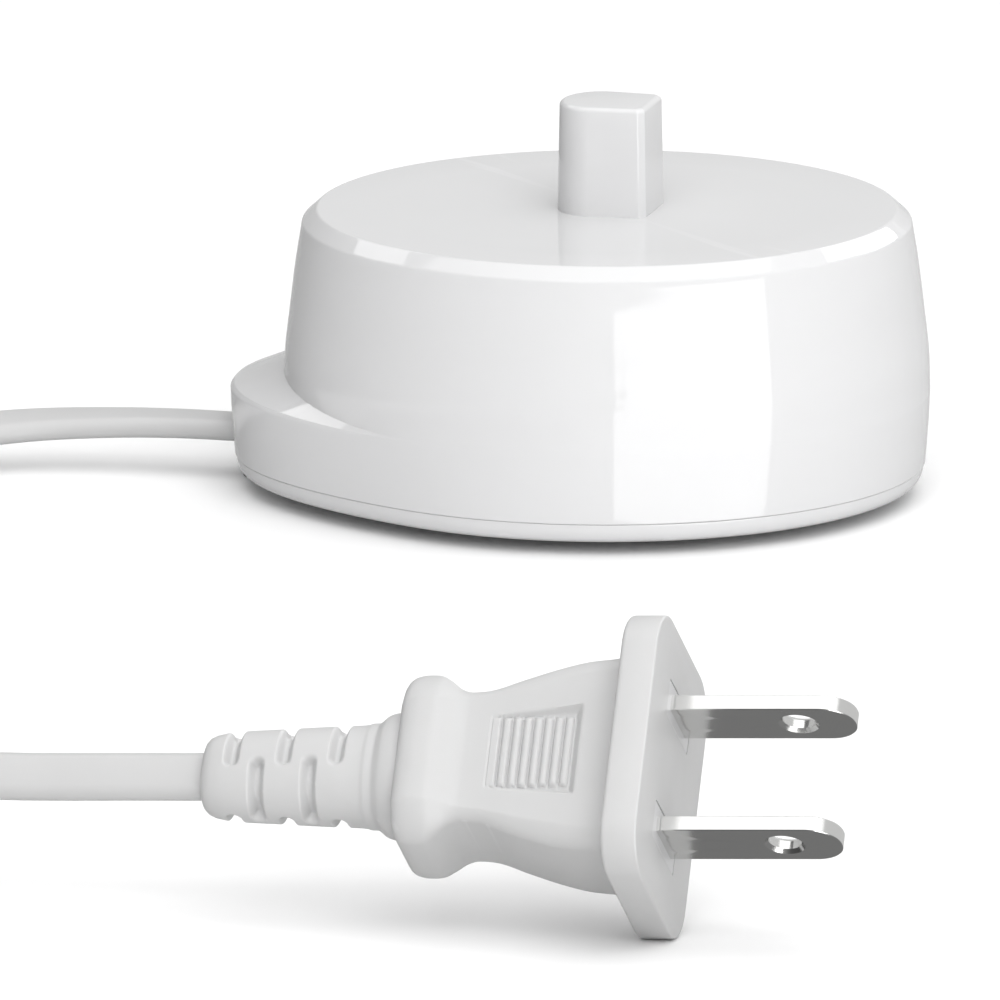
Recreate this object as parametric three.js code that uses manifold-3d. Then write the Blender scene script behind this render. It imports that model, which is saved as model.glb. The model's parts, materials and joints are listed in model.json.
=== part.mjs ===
// Inductive charging base for an electric toothbrush: a round glossy housing with an upright peg, a ledge
// where the flat cord leaves it, the electronics inside, and the cord with its moulded two-blade plug.
// Millimetres, +Z up. The base stands on its feet at z = 0 and the cord leaves it towards -X.
import * as THREE from "three";
import { mergeVertices } from "three/addons/utils/BufferGeometryUtils.js";
import Module from "manifold-3d";

const wasm = await Module();
wasm.setup();

// Driving dimensions
const GAP = 0.3; // between pieces that touch
const BODY_R = 32; // widest radius of the round body
const TAIL_REACH = 5.8; // how far the cord side stands out beyond the round body
const TAIL_SPREAD = 72; // degrees from the tail's middle to where it has melted into the body
const TAIL_SHARPNESS = 2.9; // exponent of the tail's fall-off
const BODY_X = TAIL_REACH / 2; // centres the base's box on the origin
const PLATE_Z = 1.2; // underside of the base plate, above the feet
const PARTING_Z = 3.4; // where the housing meets the base plate
const LEDGE_Z = PARTING_Z + 7; // outer edge of the ledge
const LEDGE_ROOT_Z = LEDGE_Z + 0.35; // where the ledge meets the round body, at its ends
const LEDGE_RISE = 2.1; // how much higher that is at the tail's middle
const LEDGE_SHARPNESS = 1.5; // exponent of that rise's fall-off
const TOP_Z = PARTING_Z + 25.4; // flat top
const PEG_TOP_Z = TOP_Z + 10.9;
const WALL = 1.8;
const PEG_HALF_X = 4.9;
const PEG_HALF_Y = 4.7;
const PEG_TAPER = 0.045; // share of the section lost between the peg's foot and its top

const BOARD_Z = 7.3; // underside of the circuit board
const BOARD_T = 1.6;
const BOARD_R = 25.4;
const PARTS_Z = BOARD_Z + BOARD_T + GAP; // underside of what stands on the board

const CORD_W = 4.8; // the flat cord's width, which is also its stated diameter
const CORD_T = 2.2; // the flat cord's thickness
const CORE_D = 1.7; // one insulated core
const EXIT_Z = PARTING_Z + 1.35; // middle of the cord where it leaves the housing

const COIL_TURN_OUT = 28.6; // radius of the outermost turn's middle
const COIL_TURN_IN = 22.5; // radius of the innermost turn's middle
const COIL_BASE_Z = 0.95; // the coil lies on its tie
const COIL_HEIGHT = 9.9; // two layers of cord on edge
const PLUG_Y = -195.6; // the plug's axis lies in the plane y = PLUG_Y
const PLUG_Z = 15.55; // height of the axis at the face, the plug standing on the flange's edge
const PLUG_FACE_X = 57.5; // the face that the blades stand out of
const PLUG_ROLL = -127.8; // degrees about the plug's axis
const PLUG_PITCH = 3; // degrees by which the axis sinks towards the cord
const COIL_X = -53.5;
const COIL_Y = PLUG_Y + COIL_TURN_OUT;

const FLANGE_U = 13.6; // half sizes along the blade spacing (u) and the blade width (v)
const FLANGE_V = 10.6;
const FLANGE_T = 3.6;
const BLADE_PITCH = 12.7;
const BLADE_W = 6.35;
const BLADE_T = 1.52;
const BLADE_OUT = 17.4; // length that stands out of the face
const BLADE_IN = 6.2;
const BLADE_HOLE_R = 1.6;
const BLADE_HOLE_AT = 11.8;
const CARRIER_DEPTH = 9.0;
const BODY_BACK = -25.6; // rear end of the plug's body, along its axis
const RELIEF_BACK = -45.5; // rear end of the strain relief

// Materials
const plastic = (color, roughness = 0.35) =>
  new THREE.MeshStandardMaterial({ color, roughness, metalness: 0 });
const metal = (color, roughness = 0.25) =>
  new THREE.MeshStandardMaterial({ color, roughness, metalness: 1 });
const GLOSS_WHITE = plastic(0xf2f2f2, 0.08);
const SATIN_WHITE = plastic(0xeeeeee, 0.45);
const DARK_RUBBER = plastic(0x3a3d3d, 0.8);
const FERRITE = plastic(0x2b2b2d, 0.6);
const BOARD_GREEN = plastic(0x2f6b3f, 0.5);
const BLACK_RESIN = plastic(0x1d1d1f, 0.4);
const SLEEVE_BLUE = plastic(0x27406e, 0.3);
const FILM_YELLOW = plastic(0xc9a13a, 0.35);
const VARISTOR_BLUE = plastic(0x2c6fae, 0.35);
const RESISTOR_GREY = plastic(0x8d9aa3, 0.5);
const GLASS_AMBER = plastic(0xb4552d, 0.2);
const COPPER = metal(0xb8683a);
const NICKEL = metal(0xd4d4d2, 0.15);
const CORE_BROWN = plastic(0x6b4226, 0.5);
const CORE_BLUE = plastic(0x2d57a5, 0.5);

// Geometry helpers
const rad = (degrees) => (degrees * Math.PI) / 180;

function solid(geometry) {
  const bare = geometry.clone();
  bare.deleteAttribute("normal");
  bare.deleteAttribute("uv");
  const merged = mergeVertices(bare, 1e-4);
  return new wasm.Manifold(
    new wasm.Mesh({
      numProp: 3,
      vertProperties: merged.attributes.position.array,
      triVerts: new Uint32Array(merged.index.array),
    }),
  );
}

function geometryOf(made) {
  const mesh = made.getMesh();
  const geometry = new THREE.BufferGeometry();
  geometry.setAttribute("position", new THREE.BufferAttribute(mesh.vertProperties, 3));
  geometry.setIndex(new THREE.BufferAttribute(mesh.triVerts, 1));
  return geometry;
}

const join = (first, ...rest) =>
  geometryOf(rest.reduce((sum, g) => sum.add(solid(g)), solid(first)));
const cut = (first, ...rest) =>
  geometryOf(rest.reduce((left, g) => left.subtract(solid(g)), solid(first)));

// Turns a closed profile of [radius, z] points about Z.
function lathe(profile, segments = 48) {
  const points = profile.map(([r, z]) => new THREE.Vector2(r, z));
  return new THREE.LatheGeometry(points, segments).rotateX(Math.PI / 2);
}

function ring(inner, outer, low, high, segments = 40) {
  const corners = [[inner, low], [outer, low], [outer, high], [inner, high], [inner, low]];
  return lathe(corners, segments);
}

const rod = (radius, low, high, segments = 24) =>
  lathe([[0, low], [radius, low], [radius, high], [0, high]], segments);

const box = (x, y, z, px = 0, py = 0, pz = 0) => new THREE.BoxGeometry(x, y, z).translate(px, py, pz);

function roundedRect(halfX, halfY, r) {
  const shape = new THREE.Shape();
  shape.moveTo(halfX, -halfY + r);
  shape.absarc(halfX - r, halfY - r, r, 0, rad(90), false);
  shape.absarc(-halfX + r, halfY - r, r, rad(90), rad(180), false);
  shape.absarc(-halfX + r, -halfY + r, r, rad(180), rad(270), false);
  shape.absarc(halfX - r, -halfY + r, r, rad(270), rad(360), false);
  return shape;
}

// A straight prism of a shape from z = low to z = high.
function prism(shape, low, high, curveSegments = 3, steps = 1) {
  const settings = { depth: high - low, bevelEnabled: false, curveSegments, steps };
  return new THREE.ExtrudeGeometry(shape, settings).translate(0, 0, low);
}

// A prism that runs along +X instead, with the shape's x along Y and its y along Z.
const alongX = (geometry) => geometry.applyMatrix4(new THREE.Matrix4().set(
  0, 0, 1, 0,
  1, 0, 0, 0,
  0, 1, 0, 0,
  0, 0, 0, 1,
));

function circle(radius) {
  const shape = new THREE.Shape();
  shape.absarc(0, 0, radius, 0, rad(360), false);
  return shape;
}

function tube(points, diameter, steps, sides = 8) {
  const path = new THREE.CatmullRomCurve3(points.map((p) => new THREE.Vector3(...p)));
  const settings = { extrudePath: path, steps, bevelEnabled: false, curveSegments: sides / 2 };
  return new THREE.ExtrudeGeometry(circle(diameter / 2), settings);
}

// The tail's fall-off round the body: 1 at the cord side, 0 where the tail has melted away.
function tailShare(x, y, sharpness) {
  const away = Math.abs(Math.atan2(y, -x)) / rad(TAIL_SPREAD);
  return away < 1 ? Math.cos((away * Math.PI) / 2) ** sharpness : 0;
}

// Bends a turned shape's wall outwards at the cord side: fully up to the height full, not at all from the
// height none on. The points at that upper height, where the ledge meets the round wall, rise with the tail.
function withTail(geometry, full, none) {
  const position = geometry.attributes.position;
  for (let i = 0; i < position.count; i++) {
    const [x, y, z] = [position.getX(i), position.getY(i), position.getZ(i)];
    const r = Math.hypot(x, y);
    if (r > BODY_R / 2) {
      const inTail = THREE.MathUtils.clamp((none - z) / (none - full), 0, 1);
      const grown = (r + TAIL_REACH * inTail * tailShare(x, y, TAIL_SHARPNESS)) / r;
      const atRoot = Math.abs(z - none) < 0.01;
      const rise = atRoot ? LEDGE_RISE * tailShare(x, y, LEDGE_SHARPNESS) : 0;
      position.setXYZ(i, x * grown, y * grown, z + rise);
    }
  }
  return geometry;
}

// The scene: the base's pieces in one group, the plug's in another
const root = new THREE.Group();
const base = new THREE.Group();
base.position.x = BODY_X;
const plug = new THREE.Group();
plug.position.set(PLUG_FACE_X, PLUG_Y, PLUG_Z);
plug.rotation.set(rad(PLUG_ROLL), rad(-PLUG_PITCH), 0, "YXZ");
root.add(base, plug);

function add(group, name, geometry, material, x = 0, y = 0, z = 0, turn = 0) {
  const mesh = new THREE.Mesh(geometry, material.clone());
  mesh.name = name;
  mesh.position.set(x, y, z);
  mesh.rotation.z = rad(turn);
  group.add(mesh);
}

// Housing: a turned shell with the tail, the hollow peg and the cord's notch
const BODY_PROFILE = [
  [31.55, PARTING_Z], [31.75, PARTING_Z + 2.6], [31.97, LEDGE_Z], [BODY_R, LEDGE_ROOT_Z],
  [31.9, PARTING_Z + 11], [31.4, PARTING_Z + 15.5], [30.85, PARTING_Z + 20],
  [30.2, PARTING_Z + 24.1], [28.75, TOP_Z],
];
const PEG_BORE_R = 2.9;
const PEG_BACK_X = -2; // where the peg's straight sides give way to its round back
const PEG_NOSE_X = 3.9; // where they give way to the corners of its blunt front
const PEG_NOSE_Y = 4.1;
const PEG_FLAT_Y = 2.9; // half width of the blunt front

function pegShape() {
  const shape = new THREE.Shape();
  shape.moveTo(PEG_BACK_X, -PEG_HALF_Y);
  shape.lineTo(PEG_NOSE_X, -PEG_NOSE_Y);
  shape.quadraticCurveTo(PEG_HALF_X, -PEG_NOSE_Y, PEG_HALF_X, -PEG_FLAT_Y);
  shape.lineTo(PEG_HALF_X, PEG_FLAT_Y);
  shape.quadraticCurveTo(PEG_HALF_X, PEG_NOSE_Y, PEG_NOSE_X, PEG_NOSE_Y);
  shape.lineTo(PEG_BACK_X, PEG_HALF_Y);
  shape.absellipse(PEG_BACK_X, 0, PEG_HALF_X + PEG_BACK_X, PEG_HALF_Y, rad(90), rad(270), false);
  return shape;
}

function peg() {
  const foot = TOP_Z - 1;
  const geometry = prism(pegShape(), foot, PEG_TOP_Z, 6);
  const position = geometry.attributes.position;
  for (let i = 0; i < position.count; i++) {
    const share = 1 - (PEG_TAPER * (position.getZ(i) - foot)) / (PEG_TOP_Z - foot);
    position.setXY(i, position.getX(i) * share, position.getY(i) * share);
  }
  return geometry;
}

function housing() {
  const outline = [[0, PARTING_Z], ...BODY_PROFILE, [0, TOP_Z]];
  const outer = withTail(lathe(outline, 64), LEDGE_Z, LEDGE_ROOT_Z);
  const inner = withTail(
    lathe([
      [0, PARTING_Z - 1], [30, PARTING_Z - 1], [30.2, LEDGE_Z - WALL], [30.2, LEDGE_ROOT_Z - WALL],
      [29.8, PARTING_Z + 12], [28.4, TOP_Z - 3.5], [26.6, TOP_Z - WALL], [0, TOP_Z - WALL],
    ], 64),
    LEDGE_Z - WALL, LEDGE_ROOT_Z - WALL,
  );
  const bore = rod(PEG_BORE_R, TOP_Z - WALL - 1, PEG_TOP_Z - 1.4);
  const notch = box(9, CORD_W + 2 * GAP, 3.75, -BODY_R - 4, 0, PARTING_Z + 0.875);
  return cut(join(outer, peg()), inner, bore, notch);
}

// Base plate: a shallow dish with a locating lip, board posts and pockets for the feet
const FOOT_R = 2.2;
const FOOT_T = 2;
const FOOT_CIRCLE = 20;
const TAIL_FOOT_X = -34.9;
const FEET = [
  ["rubber_foot_tail", TAIL_FOOT_X, 0],
  ...[45, -45, 125, -125].map((angle, i) => [
    "rubber_foot_" + (i + 1),
    FOOT_CIRCLE * Math.cos(rad(angle)),
    FOOT_CIRCLE * Math.sin(rad(angle)),
  ]),
];
const POST_CIRCLE = 23;
const POSTS = [35, -35, 140, -140].map((angle) => [
  POST_CIRCLE * Math.cos(rad(angle)),
  POST_CIRCLE * Math.sin(rad(angle)),
]);

function basePlate() {
  const rim = PARTING_Z - GAP;
  const dish = withTail(
    lathe([
      [0, PLATE_Z], [29.3, PLATE_Z], [30.6, PLATE_Z + 0.35], [31.15, PLATE_Z + 0.95], [31.4, rim], [0, rim],
    ], 64),
    LEDGE_Z, LEDGE_ROOT_Z,
  );
  const lip = withTail(ring(28.1, 29.5, rim - 0.5, PARTING_Z + 1.8, 64), LEDGE_Z, LEDGE_ROOT_Z);
  const posts = POSTS.map(([x, y]) => rod(2, rim - 0.5, BOARD_Z - GAP, 12).translate(x, y, 0));
  const pockets = FEET.map(([, x, y]) => rod(FOOT_R + GAP, -1, FOOT_T + GAP).translate(x, y, 0));
  const notch = box(11, CORD_W + 2 * GAP, 4, -BODY_R - 2, 0, rim + 2);
  return cut(join(dish, lip, ...posts), ...pockets, notch);
}

add(base, "top_housing", housing(), GLOSS_WHITE);
add(base, "base_plate", basePlate(), GLOSS_WHITE);
FEET.forEach(([name, x, y]) => add(base, name, rod(FOOT_R, 0, FOOT_T), DARK_RUBBER, x, y));

// Coil assembly on the body's axis
const BOBBIN_TOP = TOP_Z - WALL - GAP;

function bobbin() {
  const tubeR = 3.9;
  const flangeR = 9;
  return lathe([
    [PEG_BORE_R, PARTS_Z], [flangeR, PARTS_Z], [flangeR, PARTS_Z + 1.2], [tubeR, PARTS_Z + 1.2],
    [tubeR, BOBBIN_TOP - 1.2], [flangeR, BOBBIN_TOP - 1.2], [flangeR, BOBBIN_TOP],
    [PEG_BORE_R, BOBBIN_TOP], [PEG_BORE_R, PARTS_Z],
  ], 32);
}

add(base, "ferrite_core", rod(2.5, PARTS_Z, PEG_TOP_Z - 1.4 - GAP), FERRITE);
add(base, "coil_bobbin", bobbin(), BLACK_RESIN);
add(base, "primary_winding", ring(4.2, 8.2, PARTS_Z + 1.5, BOBBIN_TOP - 1.5, 32), COPPER);

// Circuit board with a flat edge towards the cord, and what stands on it
const board = cut(rod(BOARD_R, BOARD_Z, BOARD_Z + BOARD_T, 56), box(8, 60, 8, -BOARD_R, 0, BOARD_Z));
add(base, "circuit_board", board, BOARD_GREEN);

function onBoard(name, geometry, material, angle, radius, turn = angle) {
  const [x, y] = [radius * Math.cos(rad(angle)), radius * Math.sin(rad(angle))];
  add(base, name, geometry, material, x, y, PARTS_Z, turn);
}

function canister(radius, height) {
  const groove = height - 1.6;
  return lathe([
    [0, 0], [radius, 0], [radius, groove], [radius - 0.35, groove + 0.4], [radius, groove + 0.8],
    [radius - 0.2, height], [0, height],
  ], 24);
}

const block = (x, y, z) => prism(roundedRect(x / 2, y / 2, 0.5), 0, z, 2);
const lying = (radius, length) =>
  rod(radius, -length / 2, length / 2, 14).rotateX(Math.PI / 2).translate(0, 0, radius);

function barrelResistor(radius, length) {
  const neck = radius * 0.8;
  const half = length / 2;
  const profile = [
    [0, -half], [radius, -half], [radius, -half + 1.2], [neck, -half + 1.7],
    [neck, half - 1.7], [radius, half - 1.2], [radius, half], [0, half],
  ];
  return lathe(profile, 14).rotateX(Math.PI / 2).translate(0, 0, radius);
}

onBoard("bulk_capacitor", canister(4.4, 12.5), SLEEVE_BLUE, 90, 17.2);
onBoard("filter_capacitor", canister(3.2, 10.5), SLEEVE_BLUE, 58, 18.2);
onBoard("resonance_capacitor", block(6, 13, 11), FILM_YELLOW, 20, 17.6);
onBoard("switching_transistor", block(3.8, 4.8, 5), BLACK_RESIN, -18, 17.5);
onBoard("filter_choke", canister(3.8, 9), FERRITE, -48, 17.4);
onBoard("varistor", lying(3.6, 3).rotateZ(Math.PI / 2), VARISTOR_BLUE, -82, 17);
onBoard("fuse_resistor", barrelResistor(1.7, 9), RESISTOR_GREY, -112, 18);
onBoard("bridge_rectifier", block(6.4, 8.4, 3.4), BLACK_RESIN, 128, 17.4);
onBoard("snubber_resistor", barrelResistor(1.2, 6.4), RESISTOR_GREY, -140, 17.6);
onBoard("gate_resistor", barrelResistor(1.2, 6.4), RESISTOR_GREY, 0, 11.6);
onBoard("zener_diode", lying(0.9, 3.6), GLASS_AMBER, 70, 11.2);

// The winding's two ends, bent from the bobbin's foot down to the board
[["coil_lead_start", 150], ["coil_lead_end", -160]].forEach(([name, angle]) => {
  const bend = [[9.4, 0, 2.2], [10.2, 0, 2.3], [10.9, 0, 1.6], [11.1, 0, 0]];
  const geometry = tube(bend, 0.8, 6, 6).rotateZ(rad(angle)).translate(0, 0, PARTS_Z);
  add(base, name, geometry, COPPER);
});

// Cord inside the base: sheathed end through the notch, the clamp over it and the two cores to the board
const cordSection = (w = CORD_W, t = CORD_T) => roundedRect(w / 2, t / 2, t / 2 - 0.01);
const TAIL_TIP_X = -(BODY_R + TAIL_REACH);
const SHEATH_END_X = TAIL_TIP_X + 8.5;

const innerEnd = alongX(prism(cordSection(), TAIL_TIP_X + 0.15, SHEATH_END_X));
add(base, "cord_inner_end", innerEnd.translate(0, 0, EXIT_Z), SATIN_WHITE);

const clampBlock = box(2.6, 9, 4, 0, 0, PARTING_Z + 2);
const clampSlot = box(4, CORD_W + 2 * GAP, 6, 0, 0, EXIT_Z + CORD_T / 2 + GAP - 3);
add(base, "cord_clamp", cut(clampBlock, clampSlot), BLACK_RESIN, SHEATH_END_X - 1.4);

[["line_wire", 1, CORE_BROWN], ["neutral_wire", -1, CORE_BLUE]].forEach(([name, side, material]) => {
  const route = [
    [SHEATH_END_X + GAP, side * 1.25, EXIT_Z], [-26.2, side * 1.9, 5.3], [-24.0, side * 2.9, 8.4],
    [-22.2, side * 3.6, 11.2], [-20.0, side * 4.1, 11.6], [-18.9, side * 4.3, PARTS_Z + 0.1],
  ];
  add(base, name, tube(route, CORE_D, 14), material);
});

// Plug. Along its own axes, x runs out through the blades, y (u) from blade to blade, z (v) across a blade.
// Half sizes of the body at places along its axis: [x, u, v].
const BODY_STATIONS = [
  [BODY_BACK, 7.4, 5.4], [-25.1, 8.4, 6.3], [-24.0, 8.8, 6.6], [-22.2, 8.8, 6.6], [-21.2, 8.0, 6.1],
  [-20.2, 7.1, 5.6], [-19.0, 6.7, 5.4], [-17.0, 7.0, 5.5], [-14.0, 8.1, 5.7], [-11.0, 9.1, 5.9],
  [-8.0, 9.8, 6.2], [-5.0, 10.1, 6.4], [-2.0, 10.2, 6.4],
];
const RELIEF_STATIONS = [
  [RELIEF_BACK, 2.9, 2.2], [-45.0, 3.6, 2.7], [-43.4, 4.2, 3.2], [-38.0, 4.55, 3.5], [-32.0, 4.85, 3.8],
  [-28.4, 5.1, 4.0], [-27.9, 5.8, 4.7], [BODY_BACK - GAP, 5.8, 4.7],
];

// A body of rounded rectangular section, whose half sizes follow the stations.
function lofted(stations, corner) {
  const first = stations[0][0];
  const last = stations[stations.length - 1][0];
  const raw = prism(roundedRect(1, 1, corner), 0, stations.length - 1, 3, stations.length - 1);
  const position = raw.attributes.position;
  for (let i = 0; i < position.count; i++) {
    const [x, u, v] = stations[Math.round(position.getZ(i))];
    position.setXYZ(i, position.getX(i) * u, position.getY(i) * v, THREE.MathUtils.clamp(x, first, last));
  }
  return alongX(raw);
}

const bladeSides = [["line", -1], ["neutral", 1]];
const TUNNEL = [CORD_W + 2 * GAP, CORD_T + 2 * GAP];
const CORE_ZONE = -15; // where the sheath ends inside the plug and the cores spread

function plugBody() {
  const flange = alongX(prism(roundedRect(FLANGE_U, FLANGE_V, 4.6), -FLANGE_T, 0));
  const pocket = box(CARRIER_DEPTH, 17.4, 9, -1.7 - CARRIER_DEPTH / 2);
  const windows = bladeSides.map(([, side]) => box(4, 4.2, 9.4, 0, (side * BLADE_PITCH) / 2));
  const tunnel = box(30, TUNNEL[0], TUNNEL[1], -25);
  const grip = [-1, 1].map((side) => box(8.6, 8.2, 1.2, -12.2, 0, side * 6.1));
  return cut(join(lofted(BODY_STATIONS, 0.62), flange), pocket, ...windows, tunnel, ...grip);
}

// Pairs of flexing slots across the relief's two diagonals in turn.
const SLOT_PITCH = 2.6;
const SLOT_W = 1.2;
const SLOT_REACH = 4.75; // from the relief's axis to the middle of a slot's cutter
const SLOT_DIAGONAL = 38; // degrees from the u axis

function strainRelief() {
  const slots = [0, 1, 2, 3, 4].flatMap((i) => {
    const diagonal = i % 2 ? -SLOT_DIAGONAL : SLOT_DIAGONAL;
    return [diagonal, diagonal + 180].map((turn) =>
      box(SLOT_W, 2, 6.4, 0, SLOT_REACH).rotateX(rad(turn)).translate(-42.4 + i * SLOT_PITCH, 0, 0));
  });
  return cut(lofted(RELIEF_STATIONS, 0.8), box(30, ...TUNNEL, -36), ...slots);
}

function bladeCarrier() {
  const block = box(CARRIER_DEPTH - 2 * GAP, 16.8, 8.4, -1.7 - CARRIER_DEPTH / 2);
  const bosses = bladeSides.map(([, side]) => box(2.5, 3.6, 8.8, -1.3, (side * BLADE_PITCH) / 2));
  const slots = bladeSides.map(([, side]) =>
    box(14, BLADE_T + 2 * GAP, BLADE_W + 2 * GAP, -5, (side * BLADE_PITCH) / 2));
  return cut(join(block, ...bosses), ...slots);
}

function blade() {
  const corner = 2.2;
  const half = BLADE_W / 2;
  const shape = new THREE.Shape();
  shape.moveTo(-BLADE_IN, -half);
  shape.lineTo(BLADE_OUT - corner, -half);
  shape.absarc(BLADE_OUT - corner, -half + corner, corner, rad(-90), 0, false);
  shape.absarc(BLADE_OUT - corner, half - corner, corner, 0, rad(90), false);
  shape.lineTo(-BLADE_IN, half);
  const hole = new THREE.Path();
  hole.absarc(BLADE_HOLE_AT, 0, BLADE_HOLE_R, 0, rad(360), true);
  shape.holes.push(hole);
  return prism(shape, -BLADE_T / 2, BLADE_T / 2, 6).rotateX(Math.PI / 2);
}

add(plug, "plug_body", plugBody(), SATIN_WHITE);
add(plug, "plug_strain_relief", strainRelief(), SATIN_WHITE);
add(plug, "blade_carrier", bladeCarrier(), SATIN_WHITE);
bladeSides.forEach(([name, side]) => {
  add(plug, name + "_blade", blade(), NICKEL, 0, (side * BLADE_PITCH) / 2);
});
const plugCordEnd = alongX(prism(cordSection(), RELIEF_BACK + 0.5, CORE_ZONE));
add(plug, "plug_cord_end", plugCordEnd, SATIN_WHITE);
const plugCores = [["plug_line_wire", -1, CORE_BROWN], ["plug_neutral_wire", 1, CORE_BLUE]];
plugCores.forEach(([name, side, material]) => {
  const route = [[CORE_ZONE + GAP, side * 1.25, 0], [-13.5, side * 1.3, 0], [-12.0, side * 1.5, 0],
    [-11.0, side * 1.6, 0]];
  add(plug, name, tube(route, CORE_D, 6), material);
});

// Free cord: the lead from the base to the coil, the stored coil, and the lead from the coil to the plug
const EXIT_X = BODY_X + TAIL_TIP_X;
const COIL_EDGE_X = COIL_X - COIL_TURN_OUT;
const LEAD_ROUTE = [
  [EXIT_X - GAP, 0, EXIT_Z], [-41, 0, EXIT_Z], [-48, -0.6, 4.6], [-56, -2.6, 4.3], [-64, -7.2, 3.8],
  [-71, -14, 3.2], [-76.5, -23, 2.7], [-80.5, -35, 2.5], [-83.5, -50, 2.45], [-85.6, -68, 2.45],
  [-86.4, -88, 2.45], [-85.8, -108, 2.5], [-84.2, -126, 2.6], [COIL_EDGE_X - 0.7, -140, 2.8],
  [COIL_EDGE_X, COIL_Y + 15.3, 3.05],
];
const onPlugAxis = (x) =>
  [PLUG_FACE_X + x * Math.cos(rad(PLUG_PITCH)), PLUG_Y, PLUG_Z + x * Math.sin(rad(PLUG_PITCH))];
const TAIL_ROUTE = [
  [COIL_X + 15.6, PLUG_Y, 8.9], [-33, PLUG_Y, 9.3], [-27, PLUG_Y, 10.1], [-20, PLUG_Y, 11.2],
  [-12, PLUG_Y, 12], onPlugAxis(-62), onPlugAxis(-53), onPlugAxis(RELIEF_BACK - GAP),
];
const COIL_INNER = COIL_TURN_IN - 1.4;
const COIL_OUTER = COIL_TURN_OUT + 1.4;
const TIE_T = 0.6;
const TIE_W = 6;
const TIE_SLACK = 0.6; // room for the ring's curve inside the straight band

add(root, "cord_lead", tube(LEAD_ROUTE, CORD_W, 18), SATIN_WHITE);
const coilRing = ring(COIL_INNER, COIL_OUTER, COIL_BASE_Z, COIL_BASE_Z + COIL_HEIGHT, 48);
add(root, "cord_coil", coilRing, SATIN_WHITE, COIL_X, COIL_Y);
add(root, "cord_tail", tube(TAIL_ROUTE, CORD_W, 5), SATIN_WHITE);

function tie() {
  const across = COIL_OUTER - COIL_INNER + 2 * TIE_SLACK;
  const tall = COIL_HEIGHT + 2 * GAP;
  const band = prism(roundedRect(across / 2 + TIE_T, tall / 2 + TIE_T, 0.8), -TIE_W / 2, TIE_W / 2, 3);
  const room = prism(roundedRect(across / 2, tall / 2, 0.4), -TIE_W, TIE_W, 3);
  return cut(band, room).rotateX(Math.PI / 2).translate((COIL_INNER + COIL_OUTER) / 2, 0, 0);
}

add(root, "cord_tie", tie(), BLACK_RESIN, COIL_X, COIL_Y, COIL_BASE_Z + COIL_HEIGHT / 2, 60);

export default root;
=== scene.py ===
"""Charging base of an electric toothbrush with its flat cord and two-blade plug.

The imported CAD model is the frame. The housing, the base plate, the cord and the plug are modelled again here
in finer meshes, in the places that the frame gives, and every piece gets a procedural finish.
Lengths are millimetres until a mesh is made, and Blender's metres from there on.
"""

import json
import math

import bpy
import numpy as np
from mathutils import Matrix, Vector

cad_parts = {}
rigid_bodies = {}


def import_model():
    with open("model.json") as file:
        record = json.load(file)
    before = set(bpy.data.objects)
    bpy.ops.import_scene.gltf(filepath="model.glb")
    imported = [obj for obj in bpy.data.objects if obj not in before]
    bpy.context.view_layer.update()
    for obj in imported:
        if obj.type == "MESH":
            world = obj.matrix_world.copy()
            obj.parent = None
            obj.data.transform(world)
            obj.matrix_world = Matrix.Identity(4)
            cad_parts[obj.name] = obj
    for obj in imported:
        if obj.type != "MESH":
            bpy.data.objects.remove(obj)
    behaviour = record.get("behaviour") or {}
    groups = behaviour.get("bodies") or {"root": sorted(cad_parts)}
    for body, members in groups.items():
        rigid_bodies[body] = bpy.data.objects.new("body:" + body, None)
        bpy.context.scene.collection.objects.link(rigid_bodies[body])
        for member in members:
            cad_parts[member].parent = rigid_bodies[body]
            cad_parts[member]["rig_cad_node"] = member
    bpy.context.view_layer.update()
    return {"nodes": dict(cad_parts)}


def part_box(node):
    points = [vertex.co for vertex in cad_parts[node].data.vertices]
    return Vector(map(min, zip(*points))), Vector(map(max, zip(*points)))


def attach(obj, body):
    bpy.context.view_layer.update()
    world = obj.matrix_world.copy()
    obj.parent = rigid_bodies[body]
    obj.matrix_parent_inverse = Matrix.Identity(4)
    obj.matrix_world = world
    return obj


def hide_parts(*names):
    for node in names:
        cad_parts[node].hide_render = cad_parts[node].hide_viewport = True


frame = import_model()
NODES = frame["nodes"]
MM = 0.001


def box_mm(node):
    """Lowest and highest corner of a CAD node, in millimetres."""
    return [np.array(corner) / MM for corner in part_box(node)]


# Driving dimensions, from the frame
HOUSING_LOW, HOUSING_HIGH = box_mm("top_housing")
CORE_LOW, CORE_HIGH = box_mm("ferrite_core")
CENTRE_X, CENTRE_Y = ((CORE_LOW + CORE_HIGH) / 2)[:2]
BODY_R = HOUSING_HIGH[0] - CENTRE_X
TAIL_REACH = CENTRE_X - BODY_R - HOUSING_LOW[0]
PARTING_Z = HOUSING_LOW[2]
PEG_TOP_Z = HOUSING_HIGH[2]
PLATE_Z = box_mm("base_plate")[0][2]
FEET = [name for name in NODES if name.startswith("rubber_foot")]

# Shape of the housing: heights (H) are above the parting line
TAIL_SPREAD = math.radians(72)
TAIL_SHARPNESS = 2.9
LEDGE_H = 7.0
LEDGE_ROOT_H = 7.2
LEDGE_RISE = 2.1  # how much higher the ledge's root is at the tail's middle
LEDGE_SHARPNESS = 2.1
TOP_H = 25.4
WALL = 1.8
SEAM = 0.03  # the gap between the housing and the base plate

# The cord
CORD_W, CORD_T = 4.8, 2.2
EXIT_H = 1.35
EXIT_X = CENTRE_X - BODY_R - TAIL_REACH
EXIT_Z = PARTING_Z + EXIT_H
NOTCH_GAP = 0.3

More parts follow.
